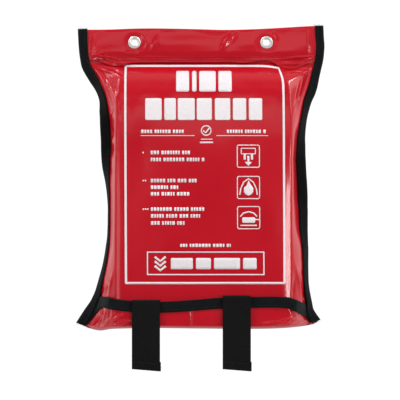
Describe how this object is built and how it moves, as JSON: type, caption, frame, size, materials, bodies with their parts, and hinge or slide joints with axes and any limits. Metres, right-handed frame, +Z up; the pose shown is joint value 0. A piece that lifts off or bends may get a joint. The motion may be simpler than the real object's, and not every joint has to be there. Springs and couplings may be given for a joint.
{
  "type": "fire blanket in soft wall pouch",
  "caption": "Soft red wall pouch with eyelets in its header and black bound edges, holding a folded fire blanket that pulls out downwards by two webbing tabs.",
  "frame": {"origin": "on the wall plane, midway between the axes of the two hanging eyelets", "axes": "+Z up, +Y into the wall, front of the pouch towards -Y, +X to the viewer's right"},
  "size_m": [0.2467, 0.0389, 0.3437],
  "materials": {
    "red_pvc": "glossy coated cloth",
    "black_tape": "woven tape",
    "webbing": "flat woven webbing",
    "nickel": "nickel plated",
    "glass_cloth": "woven glass cloth",
    "red_thread": "twisted thread",
    "black_thread": "twisted thread"
  },
  "bodies": {
    "pouch": {"rear_sheet": "red_pvc", "front_panel": "red_pvc", "left_side_binding": "black_tape", "right_side_binding": "black_tape", "left_eyelet": "nickel", "right_eyelet": "nickel", "left_eyelet_washer": "nickel", "right_eyelet_washer": "nickel", "header_stitching": "red_thread", "left_binding_stitching": "black_thread", "right_binding_stitching": "black_thread"},
    "flap": {"bottom_flap": "red_pvc", "flap_binding": "black_tape", "flap_binding_stitching": "black_thread"},
    "blanket": {"folded_blanket": "glass_cloth", "left_tab_anchor": "webbing", "right_tab_anchor": "webbing", "left_tab_bartack": "black_thread", "right_tab_bartack": "black_thread"},
    "left_tab": {"left_pull_tab": "webbing", "left_tab_hem_stitching": "black_thread"},
    "right_tab": {"right_pull_tab": "webbing", "right_tab_hem_stitching": "black_thread"}
  },
  "joints": [
    {"name": "blanket_slide", "type": "slide", "parent": "pouch", "child": "blanket", "axis": [0, 0, -1], "range_m": [0, 0.27], "deforming": ["bottom_flap", "flap_binding", "flap_binding_stitching"]},
    {"name": "flap_hinge", "type": "hinge", "parent": "pouch", "child": "flap", "pos_m": [0, -0.0016, -0.287], "axis": [1, 0, 0], "range_deg": [0, 20], "stiffness_Nm_per_rad": 0.15, "springref_deg": -5.73},
    {"name": "left_tab_hinge", "type": "hinge", "parent": "blanket", "child": "left_tab", "pos_m": [-0.0542, -0.0372, -0.2624], "axis": [-1, 0, 0], "range_deg": [0, 135]},
    {"name": "right_tab_hinge", "type": "hinge", "parent": "blanket", "child": "right_tab", "pos_m": [0.036, -0.0372, -0.2624], "axis": [-1, 0, 0], "range_deg": [0, 135]}
  ]
}
